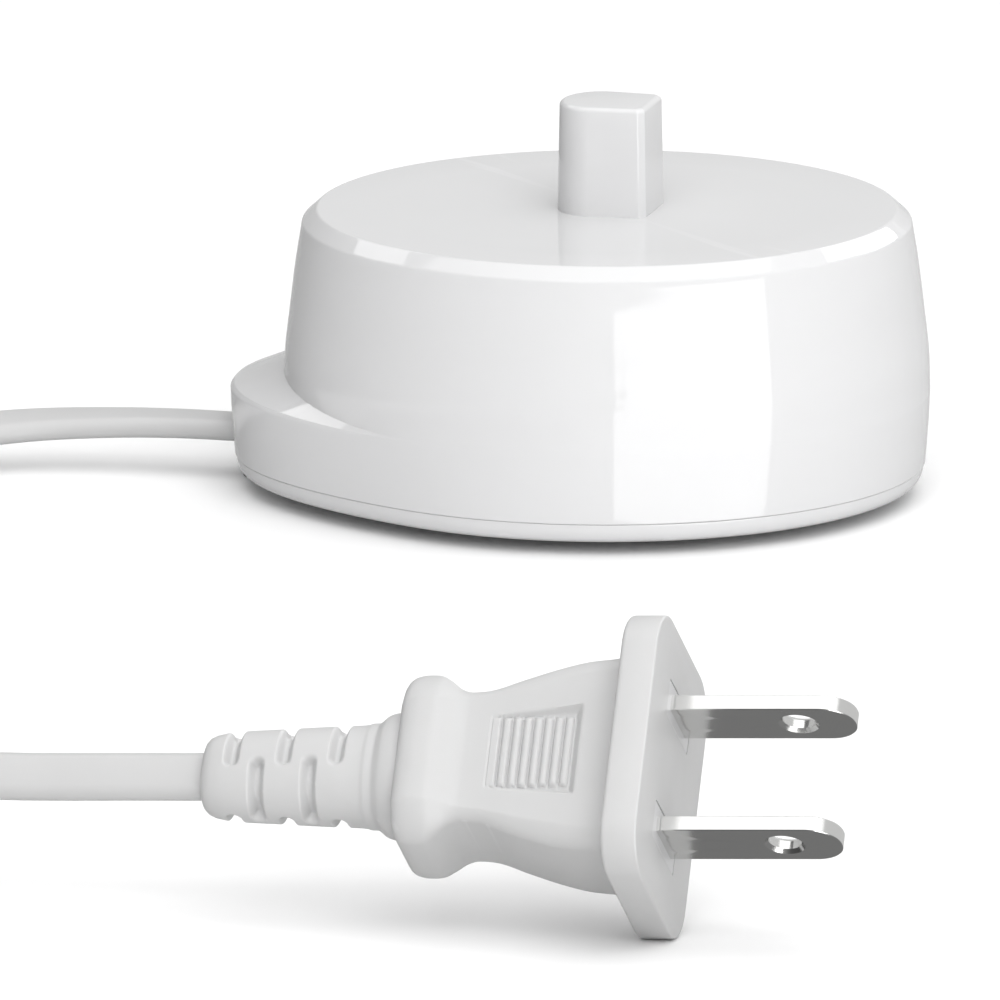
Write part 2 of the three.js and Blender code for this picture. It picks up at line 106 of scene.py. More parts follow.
# The stored coil: two layers of cord on edge
COIL_LOW, COIL_HIGH = box_mm("cord_coil")
COIL_X, COIL_Y = ((COIL_LOW + COIL_HIGH) / 2)[:2]
TURN_OUT, TURN_IN = 28.6, 22.5
LAYERS_Z = (3.35, 8.35)

# The plug: w runs out through the blades, u from blade to blade, v across a blade
PLUG_ORIGIN = np.array([57.5, -195.6, 15.55])  # the middle of the plug's face
PLUG_ROLL = math.radians(-127.8)
PLUG_PITCH = math.radians(3)
BLADE_PITCH = 12.7
RELIEF_BACK = -45.5
WINDOW_HALF_U, WINDOW_HALF_V, WINDOW_CORNER = 1.8, 4.4, 0.25  # where a blade's boss fills the flange


# --- Camera and light, first, because the cord's stored length stays outside the view ---

VIEW_AZIMUTH, VIEW_ELEVATION = math.radians(14), math.radians(12)
VIEW_WIDTH = 99  # at the base
VIEW_CENTRE = Vector((-6.5, -6.1, 0)) * MM
LENS, SENSOR = 1650, 36  # a very long lens: the plug lies nearer than the base but isn't seen larger

MAP_SOCKETS = ("From Min", "From Max", "To Min", "To Max")

TOWARDS_CAMERA = Vector((
    math.sin(VIEW_AZIMUTH) * math.cos(VIEW_ELEVATION),
    -math.cos(VIEW_AZIMUTH) * math.cos(VIEW_ELEVATION),
    math.sin(VIEW_ELEVATION),
))


def make_camera():
    data = bpy.data.cameras.new("camera")
    data.lens, data.sensor_width = LENS, SENSOR
    data.clip_start, data.clip_end = 0.1, 20
    camera = bpy.data.objects.new("camera", data)
    bpy.context.scene.collection.objects.link(camera)
    camera.location = VIEW_CENTRE + TOWARDS_CAMERA * (VIEW_WIDTH * MM * LENS / SENSOR)
    camera.rotation_mode = "QUATERNION"
    camera.rotation_quaternion = (-TOWARDS_CAMERA).to_track_quat("-Z", "Y")
    bpy.context.scene.camera = camera


def softbox(name, turn, lift, distance, size, radiance, shift_z=0.0, seen_by="both"):
    """A rectangular light that faces the base, turn degrees to the right of the camera and lift degrees up,
    with its distance, size and shift in metres. It shines on surfaces (diffuse), shows in their gloss
    (glossy), or both."""
    data = bpy.data.lights.new(name, "AREA")
    data.shape = "RECTANGLE"
    data.size, data.size_y = size
    data.energy = radiance * math.pi * size[0] * size[1]
    lamp = bpy.data.objects.new(name, data)
    bpy.context.scene.collection.objects.link(lamp)
    azimuth, elevation = VIEW_AZIMUTH + math.radians(turn), math.radians(lift)
    away = Vector((
        math.sin(azimuth) * math.cos(elevation),
        -math.cos(azimuth) * math.cos(elevation),
        math.sin(elevation),
    ))
    lamp.location = Vector((CENTRE_X, CENTRE_Y, 0)) * MM + away * distance + Vector((0, 0, shift_z))
    lamp.rotation_mode = "QUATERNION"
    lamp.rotation_quaternion = away.to_track_quat("Z", "Y")
    lamp.visible_camera = False
    lamp.visible_diffuse = seen_by != "glossy"
    lamp.visible_glossy = seen_by != "diffuse"


def make_world():
    """White to the eye; as light, paler overhead and on the right, darker low down and on the left."""
    world = bpy.data.worlds.new("studio")
    bpy.context.scene.world = world
    world.use_nodes = True
    tree = world.node_tree
    tree.nodes.clear()
    new, link = tree.nodes.new, tree.links.new
    coords = new("ShaderNodeTexCoord")

    def ramp(direction, low, high, dark, pale):
        dot = new("ShaderNodeVectorMath")
        dot.operation = "DOT_PRODUCT"
        dot.inputs[1].default_value = direction
        link(coords.outputs["Generated"], dot.inputs[0])
        spread = new("ShaderNodeMapRange")
        spread.interpolation_type = "SMOOTHSTEP"
        for socket, value in zip(MAP_SOCKETS, (low, high, dark, pale)):
            spread.inputs[socket].default_value = value
        link(dot.outputs["Value"], spread.inputs["Value"])
        return spread.outputs["Result"]

    right = (math.cos(VIEW_AZIMUTH), math.sin(VIEW_AZIMUTH), 0)
    sideways = ramp(right, -0.6, 0.1, 0.17, 0.66)
    upwards = ramp((0, 0, 1), -0.6, -0.1, 0.34, 1.0)
    product = new("ShaderNodeMath")
    product.operation = "MULTIPLY"
    link(sideways, product.inputs[0])
    link(upwards, product.inputs[1])
    light = new("ShaderNodeBackground")
    link(product.outputs["Value"], light.inputs["Strength"])
    seen = new("ShaderNodeBackground")
    for background in (light, seen):
        background.inputs["Color"].default_value = (1, 1, 1, 1)
    path = new("ShaderNodeLightPath")
    mix = new("ShaderNodeMixShader")
    output = new("ShaderNodeOutputWorld")
    link(path.outputs["Is Camera Ray"], mix.inputs["Fac"])
    link(light.outputs["Background"], mix.inputs[1])
    link(seen.outputs["Background"], mix.inputs[2])
    link(mix.outputs["Shader"], output.inputs["Surface"])


make_camera()
make_world()
bpy.context.scene.view_settings.view_transform = "Standard"
softbox("key_reflection", 31, 0, 0.73, (0.80, 0.485), 2.6, -0.133, seen_by="glossy")
softbox("left_rear_reflection", -134, 42, 0.9, (0.5, 0.24), 2.0, seen_by="glossy")
softbox("right_rear_reflection", 137, 32, 0.9, (0.44, 0.42), 3.0, seen_by="glossy")
softbox("front_fill", 6, 35, 2.2, (2.2, 1.6), 2.7, seen_by="diffuse")
softbox("overhead", 20, 84, 2.2, (2.9, 2.9), 1.2)


# --- Mesh helpers ---

def mesh_object(name, points, faces, crease=32):
    """A smooth-shaded object from points in millimetres; edges sharper than crease degrees stay sharp."""
    data = bpy.data.meshes.new(name)
    data.from_pydata((np.asarray(points, float) * MM).tolist(), [], faces)
    data.polygons.foreach_set("use_smooth", np.ones(len(data.polygons), bool))
    data.set_sharp_from_angle(angle=math.radians(crease))
    data.validate()
    obj = bpy.data.objects.new(name, data)
    bpy.context.scene.collection.objects.link(obj)
    return obj


def soften(points, reaches, steps=6):
    """Rounds each inner corner of a polyline over its reach; a reach of 0 leaves it sharp, with a point close
    by on both sides."""
    points = np.asarray(points, float)
    out = [points[0]]
    for before, corner, after, reach in zip(points, points[1:], points[2:], reaches):
        back, on = before - corner, after - corner
        close = reach or 0.03
        start = corner + back * min(0.5, close / np.linalg.norm(back))
        end = corner + on * min(0.5, close / np.linalg.norm(on))
        if not reach:
            out += [start, corner, end]
            continue
        for t in np.linspace(0, 1, steps):
            out.append((1 - t) ** 2 * start + 2 * t * (1 - t) * corner + t * t * end)
    out.append(points[-1])
    return np.array(out)


def skin(rings, close_ends=True):
    """Points and faces of the closed surface through equal rings of points."""
    rings = np.asarray(rings, float)
    count, around = rings.shape[:2]
    faces = []
    for i in range(count - 1):
        low, high = i * around, (i + 1) * around
        for j in range(around):
            k = (j + 1) % around
            faces.append((low + j, low + k, high + k, high + j))
    if close_ends:
        faces.append(tuple(reversed(range(around))))
        faces.append(tuple(range((count - 1) * around, count * around)))
    return rings.reshape(-1, 3), faces


def slide(xs, ys, x):
    """A smooth curve through the points (xs, ys), without overshoot, at x."""
    xs, ys = np.asarray(xs, float), np.asarray(ys, float)
    step, rise = np.diff(xs), np.diff(ys)
    slope = rise / step
    tangent = np.concatenate([[slope[0]], (slope[1:] + slope[:-1]) / 2, [slope[-1]]])
    tangent[1:-1][slope[1:] * slope[:-1] <= 0] = 0
    for i in range(len(slope)):
        limit = 3 * abs(slope[i])
        tangent[i] = np.clip(tangent[i], -limit, limit)
        tangent[i + 1] = np.clip(tangent[i + 1], -limit, limit)
    i = np.clip(np.searchsorted(xs, x) - 1, 0, len(step) - 1)
    t = np.clip((x - xs[i]) / step[i], 0, 1)
    h = step[i]
    return (
        ys[i] * (1 + 2 * t) * (1 - t) ** 2
        + ys[i + 1] * t * t * (3 - 2 * t)
        + h * tangent[i] * t * (1 - t) ** 2
        - h * tangent[i + 1] * t * t * (1 - t)
    )


def smoothstep(x):
    x = np.clip(x, 0, 1)
    return x * x * (3 - 2 * x)


def hollow(obj, cutters):
    """Cuts closed meshes out of an object and removes them."""
    for cutter in cutters:
        cut = obj.modifiers.new("cut", "BOOLEAN")
        cut.operation, cut.solver, cut.object = "DIFFERENCE", "EXACT", cutter
    bpy.context.view_layer.update()
    evaluated = obj.evaluated_get(bpy.context.evaluated_depsgraph_get())
    cut_mesh = bpy.data.meshes.new_from_object(evaluated)
    obj.modifiers.clear()
    obj.data = cut_mesh
    obj.data.set_sharp_from_angle(angle=math.radians(32))
    for cutter in cutters:
        bpy.data.objects.remove(cutter)


def join(first, others):
    """One object from several, with the first one's name."""
    with bpy.context.temp_override(active_object=first, selected_editable_objects=[first, *others]):
        bpy.ops.object.join()
    return first


# --- Housing and base plate: closed profiles turned about the axis, with the tail at the cord side ---

SEGMENTS = 288


def tail_share(angle, sharpness):
    """The tail's fall-off round the body: 1 at the cord side, 0 where the tail has melted away."""
    away = abs(math.pi - abs(angle)) / TAIL_SPREAD
    return math.cos(away * math.pi / 2) ** sharpness if away < 1 else 0.0


def turned(name, profile):
    """A closed body from a profile of [radius, z, share of the tail, share of the ledge's rise] between two
    points on the axis."""
    points = [(CENTRE_X, CENTRE_Y, profile[0][1])]
    walls = profile[1:-1]
    angles = np.linspace(-math.pi, math.pi, SEGMENTS, endpoint=False)
    reach = [TAIL_REACH * tail_share(angle, TAIL_SHARPNESS) for angle in angles]
    rise = [LEDGE_RISE * tail_share(angle, LEDGE_SHARPNESS) for angle in angles]
    for radius, z, out, up in walls:
        for angle, tail, root in zip(angles, reach, rise):
            r = radius + out * tail
            points.append((CENTRE_X + r * math.cos(angle), CENTRE_Y + r * math.sin(angle), z + up * root))
    points.append((CENTRE_X, CENTRE_Y, profile[-1][1]))
    last = len(points) - 1
    faces = []
    for j in range(SEGMENTS):
        k = (j + 1) % SEGMENTS
        faces.append((0, 1 + j, 1 + k))
        faces.append((last - SEGMENTS + k, last - SEGMENTS + j, last))
        for i in range(len(walls) - 1):
            low, high = 1 + i * SEGMENTS, 1 + (i + 1) * SEGMENTS
            faces.append((low + j, high + j, high + k, low + k))
    return mesh_object(name, points, faces)


def rounded_prism(name, half_y, low_z, high_z, corner, low_x, high_x):
    """A bar along X with rounded upper edges."""
    outline = soften(
        [(0, low_z), (half_y, low_z), (half_y, high_z), (-half_y, high_z), (-half_y, low_z), (0, low_z)],
        [0, corner, corner, 0],
    )[:-1]
    rings = [[(x, y, z) for y, z in outline] for x in (low_x, high_x)]
    return mesh_object(name, *skin(rings))


def make_housing():
    """The shell: its profile runs down the outside to the parting line and back up the inside."""
    wall_h = np.linspace(23.2, 10.0, 20)
    wall_r = slide([LEDGE_ROOT_H, 11.0, 15.5, 20.0, 24.1], [BODY_R, 31.9, 31.4, 30.85, 30.2], wall_h)
    outer = soften(
        [
            (0, TOP_H, 0, 0), (22, TOP_H, 0, 0), (28.75, TOP_H, 0, 0), (30.2, 24.1, 0, 0),
            *[(r, h, 0, 0) for r, h in zip(wall_r, wall_h)],
            (BODY_R, LEDGE_ROOT_H, 0, 1), (31.993, LEDGE_H + 0.02, 0.93, 0.07),
            (31.984, LEDGE_H - 0.25, 1, 0), (31.92, 5.0, 1, 0), (31.75, 2.6, 1, 0),
            (31.55, 0, 1, 0), (29.6, 0, 1, 0),
        ],
        [0.1, 0.2, 0.2, *[0.3] * len(wall_h), 0.006, 0.01, 0.12, 0.8, 0.8, 0.12],
    )
    inner = [
        (30.0, 4.4, 1, 0), (30.2, LEDGE_H - WALL, 1, 0), (30.2, LEDGE_ROOT_H - WALL, 0, 1),
        (29.8, 12.0, 0, 0), (28.4, TOP_H - 3.5, 0, 0), (26.6, TOP_H - WALL, 0, 0), (0, TOP_H - WALL, 0, 0),
    ]
    profile = [(r, PARTING_Z + h, out, up) for r, h, out, up in [*outer, *inner]]
    shell = turned("housing_shell", profile)
    notch = rounded_prism(
        "notch", CORD_W / 2 + NOTCH_GAP, PARTING_Z - 1, EXIT_Z + CORD_T / 2 + NOTCH_GAP, 1.0,
        EXIT_X - 2, EXIT_X + 7,
    )
    hollow(shell, [notch])
    return shell


PEG_HALF_Y = 4.7


def peg_outline():
    """The peg's section as a closed line: half an ellipse at the back, a blunt chamfered nose in front."""
    back, back_reach, front = -0.9, 4.0, 4.9
    nose = [(back, -PEG_HALF_Y), (4.3, -4.4), (front, -3.7), (front, 3.7), (4.3, 4.4), (back, PEG_HALF_Y)]
    turn = np.radians(np.linspace(90, 270, 41)[1:-1])
    ellipse = np.stack([back + back_reach * np.cos(turn), PEG_HALF_Y * np.sin(turn)], axis=1)
    return np.concatenate([soften(nose, [0.12] * 4), ellipse])


def make_peg():
    """The peg stands 0.6 mm deep in the top, narrows upwards by its taper and ends in a rounded edge."""
    foot, top, edge, taper = PARTING_Z + TOP_H - 0.6, PEG_TOP_Z, 0.5, 0.045
    outline = peg_outline()
    levels = [(z, 0.0) for z in np.linspace(foot, top - edge, 8)]
    for a in np.radians(np.linspace(15, 90, 6)):
        levels.append((top - edge + edge * math.sin(a), edge * (1 - math.cos(a))))
    rings = []
    for z, amount in levels:
        share = 1 - taper * (z - foot) / (top - foot) - amount / PEG_HALF_Y
        rings.append([(CENTRE_X + x, CENTRE_Y + y, z) for x, y in outline * share])
    return mesh_object("housing_peg", *skin(rings), crease=40)


def make_base_plate():
    """The plate with its shallow ring groove, and a pocket for each foot."""
    rim = PARTING_Z - SEAM
    profile = soften(
        [
            (0, PLATE_Z, 0, 0), (20, PLATE_Z, 0, 0), (20.4, PLATE_Z + 0.25, 0, 0),
            (21.2, PLATE_Z + 0.25, 0, 0), (21.6, PLATE_Z, 0, 0), (29.3, PLATE_Z, 1, 0),
            (30.7, PLATE_Z + 0.4, 1, 0), (31.25, PLATE_Z + 1.1, 1, 0), (31.45, rim, 1, 0),
            (29.6, rim, 1, 0), (0, rim, 0, 0),
        ],
        [0.1, 0.1, 0.1, 0.1, 0.5, 0.6, 0.5, 0.12, 0.3],
    )
    plate = turned("base_shell", profile[::-1])
    cutters = []
    for name in FEET:
        low, high = box_mm(name)
        x, y = ((low + high) / 2)[:2]
        radius = (high - low)[0] / 2 + 0.25
        angles = np.linspace(0, 2 * math.pi, 48, endpoint=False)
        circle = [(x + radius * math.cos(a), y + radius * math.sin(a)) for a in angles]
        rings = [[(*point, z) for point in circle] for z in (0, high[2] + 0.2)]
        cutters.append(mesh_object("pocket", *skin(rings)))
    hollow(plate, cutters)
    return plate


# --- Cord: one flat section along the whole route ---

COIL_EDGE_X = COIL_X - TURN_OUT
LEAD_ROUTE = [
    (EXIT_X + 1, 0, EXIT_Z), (EXIT_X - 0.3, 0, EXIT_Z), (-41, 0, EXIT_Z), (-48, -0.6, 4.6),
    (-56, -2.6, 4.3), (-64, -7.2, 3.8), (-71, -14, 3.2), (-76.5, -23, 2.7), (-80.5, -35, 2.5),
    (-83.5, -50, 2.45), (-85.6, -68, 2.45), (-86.4, -88, 2.45), (-85.8, -108, 2.5), (-84.2, -126, 2.6),
    (COIL_EDGE_X - 0.7, -140, 2.8), (COIL_EDGE_X, COIL_Y + 15.3, 3.05),
]


def on_plug_axis(w):
    return PLUG_ORIGIN + w * np.array([math.cos(PLUG_PITCH), 0, math.sin(PLUG_PITCH)])


PLUG_Y = PLUG_ORIGIN[1]
TAIL_ROUTE = [
    (COIL_X + 15.6, PLUG_Y, 8.9), (-33, PLUG_Y, 9.3), (-27, PLUG_Y, 10.1), (-20, PLUG_Y, 11.2),
    (-12, PLUG_Y, 12), on_plug_axis(-62), on_plug_axis(-53), on_plug_axis(RELIEF_BACK + 1.5),
]
TURNS_DOWN, TURNS_CLIMB, TURNS_UP = 2.5, 0.25, 2.5

# How far the flat cord is turned up on its edge, and over which lengths it turns
EXIT_LEAN, COIL_LEAN, PLUG_LEAN = math.radians(4), math.radians(90), -PLUG_ROLL
EXIT_TWIST, PLUG_TWIST, PLUG_TWIST_FROM_END = 110, 45, 75


def coil_points(step_degrees=7.5):
    """Inwards on the lower layer, up at the inner turn, and outwards again on the upper one."""
    total = TURNS_DOWN + TURNS_CLIMB + TURNS_UP
    points = []
    for turn in np.arange(0, total + 1e-6, step_degrees / 360):
        down = min(turn / TURNS_DOWN, 1)
        climb = smoothstep((turn - TURNS_DOWN) / TURNS_CLIMB)
        out = max(0, turn - TURNS_DOWN - TURNS_CLIMB) / TURNS_UP
        radius = TURN_OUT + (TURN_IN - TURN_OUT) * (down if out == 0 else 1 - out)
        z = LAYERS_Z[0] + (LAYERS_Z[1] - LAYERS_Z[0]) * climb
        angle = math.pi + 2 * math.pi * turn
        points.append((COIL_X + radius * math.cos(angle), COIL_Y + radius * math.sin(angle), z))
    return points


def catmull(points, spacing):
    """A smooth curve through the points, at about the given spacing."""
    points = np.asarray(points, float)
    ends = np.array([2 * points[0] - points[1], 2 * points[-1] - points[-2]])
    padded = np.concatenate([ends[:1], points, ends[1:]])
    out = []
    for a, b, c, d in zip(padded, padded[1:], padded[2:], padded[3:]):
        square, cube = 2 * a - 5 * b + 4 * c - d, 3 * b - a - 3 * c + d
        for t in np.linspace(0, 1, max(2, round(np.linalg.norm(c - b) / spacing)), endpoint=False):
            out.append(0.5 * (2 * b + (c - a) * t + square * t * t + cube * t ** 3))
    out.append(points[-1])
    return np.array(out)


def cord_section():
    """The flat cord's section: two flats joined by round edges, finely divided at the edges."""
    r, flat = CORD_T / 2, (CORD_W - CORD_T) / 2
    right = [(flat + r * math.cos(a), r * math.sin(a)) for a in np.radians(np.linspace(-90, 90, 9))]
    left = [(-x, -y) for x, y in right]
    return np.array(right + [(0, r)] + left + [(0, -r)])


def make_cord():
    """The cord's mesh, the curve it follows and its length."""
    path = catmull([*LEAD_ROUTE, *coil_points(), *TAIL_ROUTE], 1.6)
    along = np.gradient(path, axis=0)
    along /= np.linalg.norm(along, axis=1)[:, None]
    side = np.cross(along, (0, 0, 1))
    side /= np.linalg.norm(side, axis=1)[:, None]
    up = np.cross(side, along)
    run = np.concatenate([[0], np.cumsum(np.linalg.norm(np.diff(path, axis=0), axis=1))])
    length = run[-1]
    to_coil = (COIL_LEAN - EXIT_LEAN) * smoothstep(run / EXIT_TWIST)
    to_plug = (PLUG_LEAN - COIL_LEAN) * smoothstep((run - length + PLUG_TWIST_FROM_END) / PLUG_TWIST)
    outline = cord_section()
    rings = []
    for p, s, n, a in zip(path, side, up, EXIT_LEAN + to_coil + to_plug):
        wide = math.cos(a) * s + math.sin(a) * n
        thin = -math.sin(a) * s + math.cos(a) * n
        rings.append([p + x * wide + y * thin for x, y in outline])
    cord = mesh_object("supply_cord", *skin(rings), crease=60)
    return cord, path, length


# --- Plug ---

PLUG_FRAME = (
    Matrix.Translation(Vector(PLUG_ORIGIN) * MM)
    @ Matrix.Rotation(-PLUG_PITCH, 4, "Y")
    @ Matrix.Rotation(PLUG_ROLL, 4, "X")
)


def quadrant(half_u, half_v, crease_u, crease_v, points, lean):
    """A quarter of a section from the middle of a side (u) to the start of the flat face (v)."""
    turn = np.linspace(0, lean, points)
    a = (half_u - crease_u) / (1 - math.cos(lean))
    b = (half_v - crease_v) / math.sin(lean)
    return np.stack([half_u - a + a * np.cos(turn), crease_v + b * np.sin(turn)], axis=1)


def section(half_u, half_v, crease_u, crease_v, across, corner, lean):
    """A closed section, symmetrical both ways: the flat faces are at +v and -v."""
    q = quadrant(half_u, half_v, crease_u, crease_v, corner, lean)
    face = np.linspace(crease_u, -crease_u, across)[1:-1]
    upper = [*q, *[(u, half_v) for u in face], *[(-u, v) for u, v in q[::-1]]]
    lower = [(-u, -v) for u, v in upper]
    return np.array(upper + lower)


# Half sizes of the plug's body along its axis: [w, u, v, the flat face's half width, the side's half height]
BODY_STATIONS = np.array([
    [-25.7, 7.3, 5.3, 4.9, 3.0],
    [-25.5, 7.9, 5.8, 5.1, 3.1],
    [-25.1, 8.4, 6.2, 5.2, 3.2],
    [-24.3, 8.75, 6.5, 5.3, 3.3],
    [-23.2, 8.85, 6.6, 5.35, 3.3],
    [-22.2, 8.7, 6.55, 5.4, 3.4],
    [-21.2, 8.0, 6.15, 5.5, 3.7],
    [-20.2, 7.15, 5.7, 5.6, 4.0],
    [-19.0, 6.75, 5.45, 5.75, 4.2],
    [-17.0, 7.0, 5.5, 6.0, 4.1],
    [-14.0, 8.1, 5.7, 6.7, 4.1],
    [-11.0, 9.1, 5.9, 7.4, 4.2],
    [-8.0, 9.8, 6.2, 8.0, 4.4],
    [-5.0, 10.1, 6.4, 8.4, 4.6],
    [-4.0, 10.3, 6.6, 8.6, 4.7],
    [-3.7, 10.7, 7.0, 8.9, 5.0],
    [-3.4, 11.2, 7.5, 9.3, 5.4],
])
GRIP_BACK, GRIP_FRONT = -16.7, -7.7
GRIP_HALF_BACK, GRIP_HALF_FRONT = 3.75, 4.75
RIBS, RIB_PITCH, RIB_LENGTH, RIB_HEIGHT, RIB_HALF = 8, 1.02, 7.3, 0.42, 0.44


def grip_depth(w, u, half_v):
    """How far the grip is sunk below the flat face: a floor parallel to the axis, sloping walls, and ribs."""
    share = (w - GRIP_BACK) / (GRIP_FRONT - GRIP_BACK)
    floor = half_v - (5.2 + 0.22 * share)
    half = GRIP_HALF_BACK + share * (GRIP_HALF_FRONT - GRIP_HALF_BACK)
    end_wall = min((w - GRIP_BACK) * 0.9, (GRIP_FRONT - w) * 1.1)
    sunk = np.clip(np.minimum((half - np.abs(u)) * 1.25, min(floor, end_wall)), 0, None)
    first = (GRIP_BACK + GRIP_FRONT) / 2 - 0.35 - (RIBS - 1) / 2 * RIB_PITCH
    place = (w - first) / RIB_PITCH
    nearest = np.clip(np.round(place), 0, RIBS - 1)
    across = (place - nearest) * RIB_PITCH / RIB_HALF
    end = np.clip((RIB_LENGTH / 2 - np.abs(u)) / 0.45, 0, 1)
    rib = RIB_HEIGHT * np.sqrt(np.clip(1 - across ** 2, 0, 1)) * np.sqrt(1 - (1 - end) ** 2)
    return np.clip(sunk - rib, 0, None)


def make_plug_body():
    """The body with its collar, waist and ribbed grips, most finely divided along the grips."""
    across, round_edge = 84, math.radians(66)
    back, front = BODY_STATIONS[0, 0], BODY_STATIONS[-1, 0]
    stops = np.unique(np.concatenate([
        np.arange(back, GRIP_BACK, 0.22), np.arange(GRIP_BACK, GRIP_FRONT, 0.085),
        np.arange(GRIP_FRONT, front, 0.25), [front],
    ]))
    rings = []
    for w in stops:
        half_u, half_v, crease_u, crease_v = (
            slide(BODY_STATIONS[:, 0], BODY_STATIONS[:, k], w) for k in (1, 2, 3, 4)
        )
        line = section(half_u, half_v, crease_u, crease_v, across, 14, round_edge)
        if GRIP_BACK < w < GRIP_FRONT:
            flat = np.abs(np.abs(line[:, 1]) - half_v) < 1e-6
            depth = grip_depth(w, line[:, 0], half_v)
            line[flat, 1] -= np.sign(line[flat, 1]) * depth[flat]
        rings.append([(w, u, v) for u, v in line])
    return mesh_object("plug_moulding", *skin(rings), crease=50)


def rounded_rectangle(half_u, half_v, corner, steps=14):
    """A closed line round a rectangle with round corners."""
    line = []
    for turn, (su, sv) in enumerate([(1, 1), (-1, 1), (-1, -1), (1, -1)]):
        for a in np.radians(np.linspace(0, 90, steps) + 90 * turn):
            u = su * (half_u - corner) + corner * math.cos(a)
            v = sv * (half_v - corner) + corner * math.sin(a)
            line.append((u, v))
    return np.array(line)


FLANGE_U, FLANGE_V, FLANGE_T, FLANGE_CORNER = 13.6, 10.6, 3.6, 4.6


def make_flange():
    """The flange, with rounded edges at its back and front and a window for each boss of the carrier."""
    back, front, gap = 0.55, 0.22, 0.11
    levels = []
    for a in np.radians((90, 65, 40, 20, 0)):
        levels.append((-FLANGE_T + back * (1 - math.sin(a)), back * (1 - math.cos(a))))
    for a in np.radians((0, 30, 60, 90)):
        levels.append((-front + front * math.sin(a), front * (1 - math.cos(a))))
    rings = []
    for w, amount in levels:
        line = rounded_rectangle(FLANGE_U - amount, FLANGE_V - amount, FLANGE_CORNER - amount)
        rings.append([(w, u, v) for u, v in line])
    flange = mesh_object("plug_flange", *skin(rings), crease=40)
    windows = []
    for side in (-1, 1):
        outline = rounded_rectangle(WINDOW_HALF_U + gap, WINDOW_HALF_V + gap, WINDOW_CORNER, 4)
        outline += (side * BLADE_PITCH / 2, 0)
        windows.append(mesh_object("window", *skin([[(w, u, v) for u, v in outline] for w in (-2.4, 1.0)])))
    hollow(flange, windows)
    return flange


# Half sizes of the strain relief along its axis: [w, u, v]
RELIEF_STATIONS = np.array([
    [RELIEF_BACK, 3.0, 2.15],
    [-45.35, 3.35, 2.45],
    [-45.0, 3.7, 2.8],
    [-44.4, 3.98, 3.05],
    [-43.4, 4.2, 3.22],
    [-38.0, 4.55, 3.55],
    [-32.0, 4.85, 3.85],
    [-29.5, 4.98, 3.95],
    [-29.2, 5.08, 4.05],
    [-28.4, 5.15, 4.1],
    [-28.15, 5.3, 4.25],
    [-27.6, 5.75, 4.65],
    [-27.0, 6.0, 4.85],
    [-26.2, 6.1, 4.95],
    [-25.2, 6.1, 4.95],
])
# The relief's slots lie in rings of two: [w, the diagonal that the two lie on]
SLOT_RINGS = [(-42.4, 45), (-39.8, -45), (-37.2, 45), (-34.6, -45), (-32.0, 45)]
SLOT_HALF_W, SLOT_HALF_TURN, SLOT_DEPTH, SLOT_EDGE = 0.5, math.radians(50), 1.0, 0.4


def slot_depth(w, turn):
    """How far the relief's flexing slots are sunk at a place along it and an angle round it."""
    deepest = np.zeros_like(turn)
    for middle, diagonal in SLOT_RINGS:
        for way in (diagonal, diagonal + 180):
            off = np.abs((turn - math.radians(way) + math.pi) % (2 * math.pi) - math.pi)
            beyond = np.clip((off - (SLOT_HALF_TURN - 0.16)) * 4.0, 0, None)
            reach = np.hypot(w - middle, beyond)
            sunk = smoothstep((SLOT_HALF_W + SLOT_EDGE - reach) / (2 * SLOT_EDGE))
            deepest = np.maximum(deepest, SLOT_DEPTH * sunk)
    return deepest


def make_relief():
    """The strain relief: a tapering superellipse, most finely divided along its slots."""
    slots_from, slots_to, front = RELIEF_STATIONS[4, 0], -31.0, RELIEF_STATIONS[-1, 0]
    stops = np.unique(np.concatenate([
        RELIEF_STATIONS[:5, 0], np.arange(slots_from, slots_to, 0.075),
        np.arange(slots_to, front, 0.12), [front],
    ]))
    turn = np.linspace(0, 2 * math.pi, 192, endpoint=False)
    power = 2 / 2.35
    shape_u = np.sign(np.cos(turn)) * np.abs(np.cos(turn)) ** power
    shape_v = np.sign(np.sin(turn)) * np.abs(np.sin(turn)) ** power
    rings = []
    for w in stops:
        half_u, half_v = (slide(RELIEF_STATIONS[:, 0], RELIEF_STATIONS[:, k], w) for k in (1, 2))
        u, v = half_u * shape_u, half_v * shape_v
        out = np.hypot(u, v)
        left = (out - slot_depth(w, np.arctan2(v, u))) / out
        rings.append(np.stack([np.full_like(u, w), u * left, v * left], axis=1))
    return mesh_object("relief_moulding", *skin(rings), crease=60)


def make_carrier():
    """The moulded block that holds the blades: its two bosses fill the flange's windows."""
    half_u, half_v, gap = 8.4, 4.2, 0.07
    block = [[(w, u, v) for u, v in rounded_rectangle(half_u, half_v, 0.5, 4)] for w in (-10.4, -2.6)]
    carrier = mesh_object("blade_block", *skin(block), crease=40)
    bosses = []
    for side in (-1, 1):
        outline = rounded_rectangle(WINDOW_HALF_U + gap, WINDOW_HALF_V + gap, WINDOW_CORNER, 4)
        rings = []
        for w, inset in [(-3.2, 0.0), (-0.14, 0.0), (-0.04, 0.1)]:
            line = outline * (1 - inset / WINDOW_HALF_U, 1 - inset / WINDOW_HALF_V)
            rings.append([(w, u, v) for u, v in line + (side * BLADE_PITCH / 2, 0)])
        bosses.append(mesh_object("boss", *skin(rings), crease=30))
    return join(carrier, bosses)


BLADE_HALF, BLADE_T, BLADE_OUT, BLADE_IN = 3.175, 1.52, 17.4, 6.2
HOLE_AT, HOLE_R, HOLE_CHAMFER = 11.8, 1.6, 0.36
TIP_CORNER = 3.0


